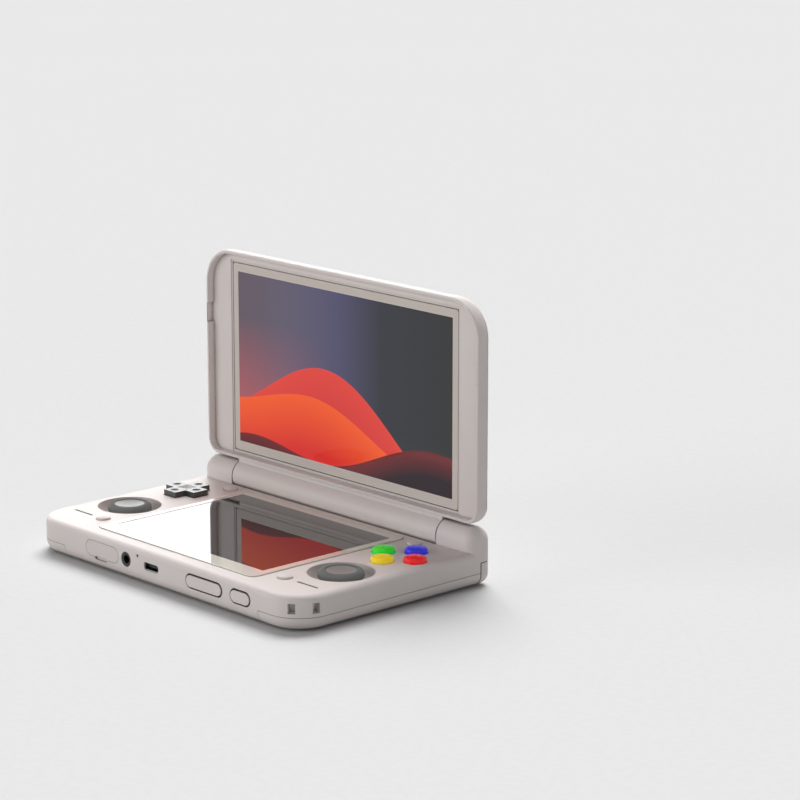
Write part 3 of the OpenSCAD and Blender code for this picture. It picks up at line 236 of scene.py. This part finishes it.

# The housing, the lid and the card cover get painted shade in their gaps and deep corners.
housing = moulded("housing_plastic", HOUSING, 0.5, edge=0.25 * MM, painted_shade_tone=PAINTED_GAP_SHADE)
dress(housing, "base_top_shell", "base_bottom_shell", "hinge_cover", "left_bumper", "right_bumper",
      "left_trigger", "right_trigger", "volume_rocker", "power_button", "select_button", "start_button",
      "home_button", "menu_button")
dress(moulded("lid_plastic", HOUSING, 0.5, edge=0.8 * MM, painted_shade_tone=LID_PAINTED_SHADE, unshaded_above=0.75),
      "lid_frame", "lid_back_cover")
dress(moulded("plug_rubber", tint(HOUSING, 0.97), 0.6, painted_shade_tone=PAINTED_GAP_SHADE), "card_cover")


# Cap of a stick, as in the CAD model
CAP_R = 9.1 * MM
CAP_SHOULDER_R = 2.0 * MM
CAP_DISH_R = 6.8 * MM
CAP_DISH_DEPTH = 0.9 * MM

# Skin over the cap
CAP_SMOOTH_R = 6.1 * MM             # the knurling starts inside the dish
KNURL_CELLS = 58                    # round the cap
KNURL_H = 0.25 * MM
CAP_SKIN = 0.015 * MM               # how far the cap's mesh stands off the CAD model
CAP_TURN = math.radians(130)        # how far the knurling goes round the shoulder
CAP_HEM = 0.3 * MM                  # how far the last row tucks into the CAD model
DISH_ROWS = 12


def stick_rubber(name, colour, roughness):
    """Smooth rubber of a stick's stem and of its dish."""
    g = Graph(name)
    tone = g.ramp(g.noise(80.0, 3.0), [(0.3, tint(colour, 0.94)), (0.7, tint(colour, 1.06))])
    rough = g.span(g.noise(900.0, 3.0), 0.3, 0.7, roughness - 0.05, roughness + 0.05)
    normal = g.bump(g.noise(5000.0, 2.0), 0.12, 0.01 * MM)
    g.surface(Base_Color=tone, Roughness=rough, Normal=normal)
    return g.material


def knurled_rubber(name):
    """Knurled rubber: its tips keep the rubber's grey, its grooves are darkened with painted shade."""
    g = Graph(name)
    tip = g.add("ShaderNodeAttribute", attribute_name="tip").outputs["Fac"]
    # painted shade in the grooves; the tips keep the rubber's grey
    tone = g.mix(tip, srgb(26, 27, 26), srgb(140, 143, 140))
    rough = g.span(g.noise(900.0, 3.0), 0.3, 0.7, 0.36, 0.46)
    g.surface(Base_Color=tone, Roughness=rough)
    return g.material


def cap_profile():
    """Rows of the cap's dish and of its knurled band: (radius, height, slope)."""
    bend = (CAP_DISH_R ** 2 + CAP_DISH_DEPTH ** 2) / (2 * CAP_DISH_DEPTH)

    def at(s):
        if s < CAP_DISH_R:
            return s, bend - math.sqrt(bend ** 2 - s ** 2) - CAP_DISH_DEPTH, -math.asin(s / bend)
        if s < CAP_R - CAP_SHOULDER_R:
            return s, 0.0, 0.0
        turn = (s - CAP_R + CAP_SHOULDER_R) / CAP_SHOULDER_R
        return (CAP_R - CAP_SHOULDER_R * (1 - math.sin(turn)),
                -CAP_SHOULDER_R * (1 - math.cos(turn)), turn)

    dish = [at(CAP_SMOOTH_R * i / DISH_ROWS) for i in range(1, DISH_ROWS + 1)]
    length = CAP_R - CAP_SHOULDER_R + CAP_SHOULDER_R * CAP_TURN - CAP_SMOOTH_R
    count = round(length / (math.pi * CAP_R / KNURL_CELLS))
    return dish, [at(CAP_SMOOTH_R + length * i / count) for i in range(1, count + 1)]


def stick_cap(node, smooth, knurled):
    """Skin of a stick's cap: a smooth dish, then diamond knurling with grooves on both diagonals."""
    low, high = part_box(node)
    middle = Vector(((low[0] + high[0]) / 2, (low[1] + high[1]) / 2, high[2]))
    columns = 2 * KNURL_CELLS
    dish, band = cap_profile()
    rows = [(r, z, slope, CAP_SKIN) for r, z, slope in dish]
    rows += [(r, z, slope, None) for r, z, slope in band]
    rows += [band[-1] + (-CAP_HEM,)]
    mesh = bmesh.new()
    tip = mesh.verts.layers.float.new("tip")
    centre = mesh.verts.new(middle + Vector((0, 0, CAP_SKIN - CAP_DISH_DEPTH)))
    rings = []
    for i, (r, z, slope, out) in enumerate(rows):
        ring = []
        for j in range(columns):
            peak = out is None and (i + j) % 2 and i < len(rows) - 2
            away = out if out is not None else (KNURL_H if peak else CAP_SKIN)
            radius = r + away * math.sin(slope)
            angle = math.pi * j / KNURL_CELLS
            vert = mesh.verts.new(middle + Vector((radius * math.cos(angle), radius * math.sin(angle),
                                                   z + away * math.cos(slope))))
            vert[tip] = 1.0 if peak else 0.0
            ring.append(vert)
        rings.append(ring)
    under = mesh.verts.new(middle - Vector((0, 0, 2 * CAP_SHOULDER_R)))
    for j in range(columns):
        k = (j + 1) % columns
        mesh.faces.new((centre, rings[0][j], rings[0][k])).smooth = True
        mesh.faces.new((under, rings[-1][k], rings[-1][j]))
        for i, (upper, lower) in enumerate(zip(rings, rings[1:])):
            in_dish = i < len(dish) - 1
            if (i + j) % 2:
                faces = ((upper[j], lower[j], lower[k]), (upper[j], lower[k], upper[k]))
            else:
                faces = ((upper[j], lower[j], upper[k]), (lower[j], lower[k], upper[k]))
            for corners in faces:
                face = mesh.faces.new(corners)
                face.smooth = in_dish
                face.material_index = 0 if in_dish else 1
    bmesh.ops.recalc_face_normals(mesh, faces=mesh.faces)
    data = bpy.data.meshes.new(node + "_cap")
    mesh.to_mesh(data)
    mesh.free()
    piece = bpy.data.objects.new(node + "_cap", data)
    bpy.context.collection.objects.link(piece)
    data.materials.append(smooth)
    data.materials.append(knurled)
    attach(piece, node)


dish_rubber = stick_rubber("dish_rubber", srgb(142, 144, 141), roughness=0.42)
stem_rubber = stick_rubber("stem_rubber", srgb(70, 72, 70), roughness=0.5)
knurl_rubber = knurled_rubber("knurl_rubber")
for node in ("left_stick", "right_stick"):
    dress(stem_rubber, node)
    stick_cap(node, dish_rubber, knurl_rubber)

POLISHED = dict(grain=4000.0, depth=0.003 * MM)
FACE_BUTTONS = {
    "left_face_button": srgb(44, 236, 56),
    "rear_face_button": srgb(52, 56, 250),
    "right_face_button": srgb(255, 40, 44),
    "front_face_button": srgb(255, 222, 40),
}
dress(moulded("cross_plastic", srgb(78, 80, 77), 0.24, edge=0.25 * MM, **POLISHED), "cross_pad")
# The face buttons glow faintly in their own colour: painted light, as the buttons are no lamps.
for node, colour in FACE_BUTTONS.items():
    dress(moulded(node + "_gloss", colour, 0.26, mottle=0.02, Specular_IOR_Level=0.25, Coat_Weight=0.15,
                  Coat_Roughness=0.08, Emission_Color=colour, Emission_Strength=0.16, **POLISHED), node)

dress(moulded("foot_rubber", srgb(70, 70, 70), 0.75, grain=3000.0, depth=0.05 * MM), "rubber_feet")
dress(moulded("dark_plastic", srgb(42, 42, 44), 0.5), "fan_housing", "fan_rotor", "left_stick_module",
      "right_stick_module", "cross_pad_bracket", "left_speaker", "right_speaker")
dress(moulded("display_back", srgb(30, 30, 32), 0.4), "lower_display", "upper_display")
dress(moulded("solder_mask", srgb(28, 92, 60), 0.35, grain=1500.0), "mainboard", "left_control_board",
      "right_control_board")
dress(moulded("cell_foil", srgb(186, 188, 192), 0.35, grain=500.0, depth=0.08 * MM), "battery")
dress(moulded("silicone", srgb(150, 150, 150), 0.6), "left_membranes", "right_membranes")
dress(moulded("cable_film", srgb(196, 138, 52), 0.3), "display_cable")
dress(metal("milled_aluminium", srgb(200, 202, 205), 0.3, along=(1, 12, 1)), "heat_sink")
dress(metal("plated_steel", srgb(186, 186, 190), 0.25, along=(8, 1, 1)), "left_stick_gimbal",
      "right_stick_gimbal", "cross_pad_spider", "edge_switches", "card_socket")
dress(metal("plain_steel", srgb(160, 160, 164), 0.35), "base_screws", "lid_screws", "left_hinge_unit",
      "right_hinge_unit", "left_hinge_arm", "right_hinge_arm")


PORT_HALF_H = 1.6 * MM              # half the charging port's height, outside
PORT_THROAT_HALF_H = 1.28 * MM
PORT_WALL = 0.3 * MM                # at each side of the throat


def port_metal():
    """Drawn steel shell; its throat and tongue are black."""
    g = Graph("port_shell")
    low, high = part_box("charging_port")
    x, _, z = g.axes()
    middle_z = high[2] - PORT_HALF_H
    throat = g.inside(x, z, ((low[0] + PORT_WALL, high[0] - PORT_WALL),
                             (middle_z - PORT_THROAT_HALF_H, middle_z + PORT_THROAT_HALF_H)))
    marks = g.noise(3000.0, 3.0, 0.6, g.scaled(1, 6, 1))
    steel = g.ramp(marks, [(0.2, srgb(170, 170, 174)), (0.8, srgb(196, 196, 200))])
    g.surface(Base_Color=g.mix(throat, steel, srgb(24, 24, 25)), Metallic=g.math("SUBTRACT", 1.0, throat),
              Roughness=g.span(marks, 0.3, 0.7, 0.2, 0.35))
    return g.material


dress(port_metal(), "charging_port")
dress(moulded("jack_plastic", srgb(24, 24, 25), 0.4), "headphone_jack")


# ---------- screens ----------
DISPLAY_BORDER = 1.4 * MM
PRINT_LINE = 0.7 * MM               # dull black line at the left of the lower picture
UPPER_PRINT = srgb(222, 213, 205)   # borders printed behind the glasses
LOWER_PRINT = tint(srgb(203, 200, 189), 1.25)
SCREEN_LIT = (0.01, 0.01, 0.012, 1.0)       # what a lit picture still scatters
SCREEN_OFF = (0.012, 0.012, 0.013, 1.0)
CREST_BLUR = 0.002                  # share of the picture's height


def picture_rect(node, across, up):
    """The picture's low and high corners along two axes, from its display module."""
    low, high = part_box(node)
    return [(low[i] + DISPLAY_BORDER, high[i] - DISPLAY_BORDER) for i in (across, up)]


def wave(g, s, base, slope, swing, rate, phase):
    """Height of a soft wave's crest over the picture's width."""
    turn = g.math("SINE", g.math("ADD", g.math("MULTIPLY", s, rate), phase))
    line = g.math("ADD", g.math("MULTIPLY", s, slope), base)
    return g.math("ADD", line, g.math("MULTIPLY", turn, swing))


def landscape(g, s, t):
    """A generic picture, dusk sky over three soft waves; s runs across and t runs up, 0 to 1."""
    sky = g.ramp(s, [(0.0, srgb(112, 96, 104)), (0.22, srgb(106, 100, 122)), (0.48, srgb(88, 86, 116)),
                     (0.68, srgb(62, 63, 70)), (1.0, srgb(58, 59, 58))])
    glow = g.ramp(t, [(0.25, srgb(196, 96, 104)), (0.75, srgb(100, 92, 104))])
    colour = g.mix(g.span(s, 0.0, 0.45, 0.75, 0.0), sky, glow)
    far = wave(g, s, base=0.40, slope=-0.22, swing=0.24, rate=5.2, phase=-0.75)
    middle = wave(g, s, base=0.34, slope=-0.20, swing=0.10, rate=6.4, phase=-0.9)
    near = wave(g, s, base=-0.02, slope=0.20, swing=0.07, rate=7.5, phase=1.34)
    layers = [
        (far, srgb(206, 52, 58), srgb(236, 76, 66), 0.45),
        (middle, srgb(224, 48, 42), srgb(255, 100, 48), 0.32),
        (near, srgb(44, 32, 38), srgb(120, 42, 46), 0.14),
    ]
    for crest, foot_colour, crest_colour, depth in layers:
        under = g.math("SUBTRACT", crest, t)
        body = g.mix(g.span(under, 0.0, depth), crest_colour, foot_colour)
        colour = g.mix(g.span(under, -CREST_BLUR, CREST_BLUR), colour, body)
    return colour


def upper_glass():
    """Printed glass with the lit picture behind it."""
    g = Graph("upper_screen_glass")
    x, _, z = g.axes()
    rect = picture_rect("upper_display", 0, 2)
    (x0, x1), (z0, z1) = rect
    lit = g.inside(x, z, rect)
    picture = landscape(g, g.span(x, x0, x1), g.span(z, z0, z1))
    base = g.mix(lit, UPPER_PRINT, SCREEN_LIT)
    dust = g.span(g.noise(1400.0, 2.0), 0.4, 0.8, 0.05, 0.09)
    g.surface(Base_Color=base, Roughness=dust, Emission_Color=picture, Specular_IOR_Level=0.12,
              Emission_Strength=g.math("MULTIPLY", lit, 0.85))
    return g.material


def lower_glass():
    """Printed glass over a screen that is off; it mirrors the lid."""
    g = Graph("lower_screen_glass")
    x, y, _ = g.axes()
    rect = picture_rect("lower_display", 0, 1)
    (x0, x1), (y0, y1) = rect
    dark = g.inside(x, y, ((x0 - PRINT_LINE, x1), (y0, y1)))
    line = g.inside(x, y, ((x0 - PRINT_LINE, x0), (y0, y1)))
    base = g.mix(dark, LOWER_PRINT, SCREEN_OFF)
    dust = g.span(g.noise(1400.0, 2.0), 0.4, 0.8, 0.0, 0.03)
    g.surface(Base_Color=base, Roughness=g.math("MAXIMUM", dust, line), IOR=2.1)
    return g.material


dress(upper_glass(), "upper_glass")
dress(lower_glass(), "lower_glass")


# ---------- stage, lights and camera ----------
FLOOR_BOUNCE = (0.46, 0.45, 0.45, 1.0)      # tone of the light that the floor throws back
FLOOR_HALF = 8.0                    # metres
WORLD_DIM = 0.19                    # strength of the world as a lamp
WORLD_WHITE = 1.0                   # strength of the world as seen and mirrored


def floor_paper():
    """Pale paper; it throws less light on the object than it shows to the camera."""
    g = Graph("floor_paper")
    path = g.add("ShaderNodeLightPath")
    seen = g.math("MAXIMUM", path.outputs["Is Camera Ray"], path.outputs["Is Glossy Ray"])
    fibre = g.ramp(g.noise(300.0, 3.0), [(0.3, (0.80, 0.80, 0.80, 1.0)), (0.7, (0.82, 0.82, 0.82, 1.0))])
    paper = g.add("ShaderNodeBsdfDiffuse")
    g.link(g.mix(seen, FLOOR_BOUNCE, fibre), paper.inputs["Color"])
    g.link(paper.outputs[0], g.output.inputs[0])
    return g.material


def floor():
    mesh = bpy.data.meshes.new("floor")
    corners = [(x * FLOOR_HALF, y * FLOOR_HALF, 0) for x, y in ((-1, -1), (1, -1), (1, 1), (-1, 1))]
    mesh.from_pydata(corners, [], [(0, 1, 2, 3)])
    piece = bpy.data.objects.new("floor", mesh)
    bpy.context.collection.objects.link(piece)
    mesh.materials.append(floor_paper())


def sun(name, direction, strength, angle, mirrored=True):
    """Broad lamp that shines along the direction; glossy surfaces show it only if mirrored."""
    data = bpy.data.lights.new(name, "SUN")
    data.energy = strength
    data.angle = math.radians(angle)
    lamp = bpy.data.objects.new(name, data)
    lamp.visible_glossy = mirrored
    lamp.rotation_mode = "QUATERNION"
    lamp.rotation_quaternion = Vector(direction).to_track_quat("-Z", "Y")
    bpy.context.collection.objects.link(lamp)


def softbox(name, place, target, width, height, power):
    """Rectangle of light that shows only in glossy surfaces."""
    data = bpy.data.lights.new(name, "AREA")
    data.shape = "RECTANGLE"
    data.size, data.size_y = width, height
    data.energy = power
    lamp = bpy.data.objects.new(name, data)
    lamp.location = place
    lamp.rotation_mode = "QUATERNION"
    lamp.rotation_quaternion = (Vector(target) - Vector(place)).to_track_quat("-Z", "Y")
    lamp.visible_camera = False
    lamp.visible_diffuse = False
    bpy.context.collection.objects.link(lamp)


def world():
    """Dim as a lamp, white to the camera and in mirror images."""
    studio = bpy.data.worlds.new("studio")
    bpy.context.scene.world = studio
    studio.use_nodes = True
    tree = studio.node_tree
    tree.nodes.clear()
    path = tree.nodes.new("ShaderNodeLightPath")
    out = tree.nodes.new("ShaderNodeOutputWorld")
    dim = tree.nodes.new("ShaderNodeBackground")
    dim.inputs[0].default_value = (0.98, 0.97, 1.0, 1.0)
    dim.inputs[1].default_value = WORLD_DIM
    white = tree.nodes.new("ShaderNodeBackground")
    white.inputs[1].default_value = WORLD_WHITE
    seen = tree.nodes.new("ShaderNodeMath")
    seen.operation = "MAXIMUM"
    tree.links.new(path.outputs["Is Camera Ray"], seen.inputs[0])
    tree.links.new(path.outputs["Is Glossy Ray"], seen.inputs[1])
    both = tree.nodes.new("ShaderNodeMixShader")
    tree.links.new(seen.outputs[0], both.inputs[0])
    tree.links.new(dim.outputs[0], both.inputs[1])
    tree.links.new(white.outputs[0], both.inputs[2])
    tree.links.new(both.outputs[0], out.inputs[0])


def photo_camera():
    """Camera that sees the console as the photograph does."""
    data = bpy.data.cameras.new("camera")
    data.sensor_width = SENSOR_WIDTH
    data.lens = CAMERA_LENS
    data.clip_start = 0.05
    data.clip_end = 50.0
    camera = bpy.data.objects.new("camera", data)
    camera.location = CAMERA_PLACE
    camera.rotation_euler = CAMERA_TURN
    bpy.context.collection.objects.link(camera)
    bpy.context.scene.camera = camera


floor()
world()
sun("key", direction=(0.35, -0.5, -1.0), strength=2.75, angle=38, mirrored=False)
sun("fill", direction=(0.5, 0.8, -0.02), strength=1.8, angle=50)
sun("side", direction=(-0.9, 0.45, -0.05), strength=0.5, angle=40)
softbox("back_softbox", place=(-0.95, 0.85, 0.4), target=(0, 0, 0.05), width=1.4, height=0.9, power=10.5)
photo_camera()
bpy.context.scene.view_settings.view_transform = "Standard"
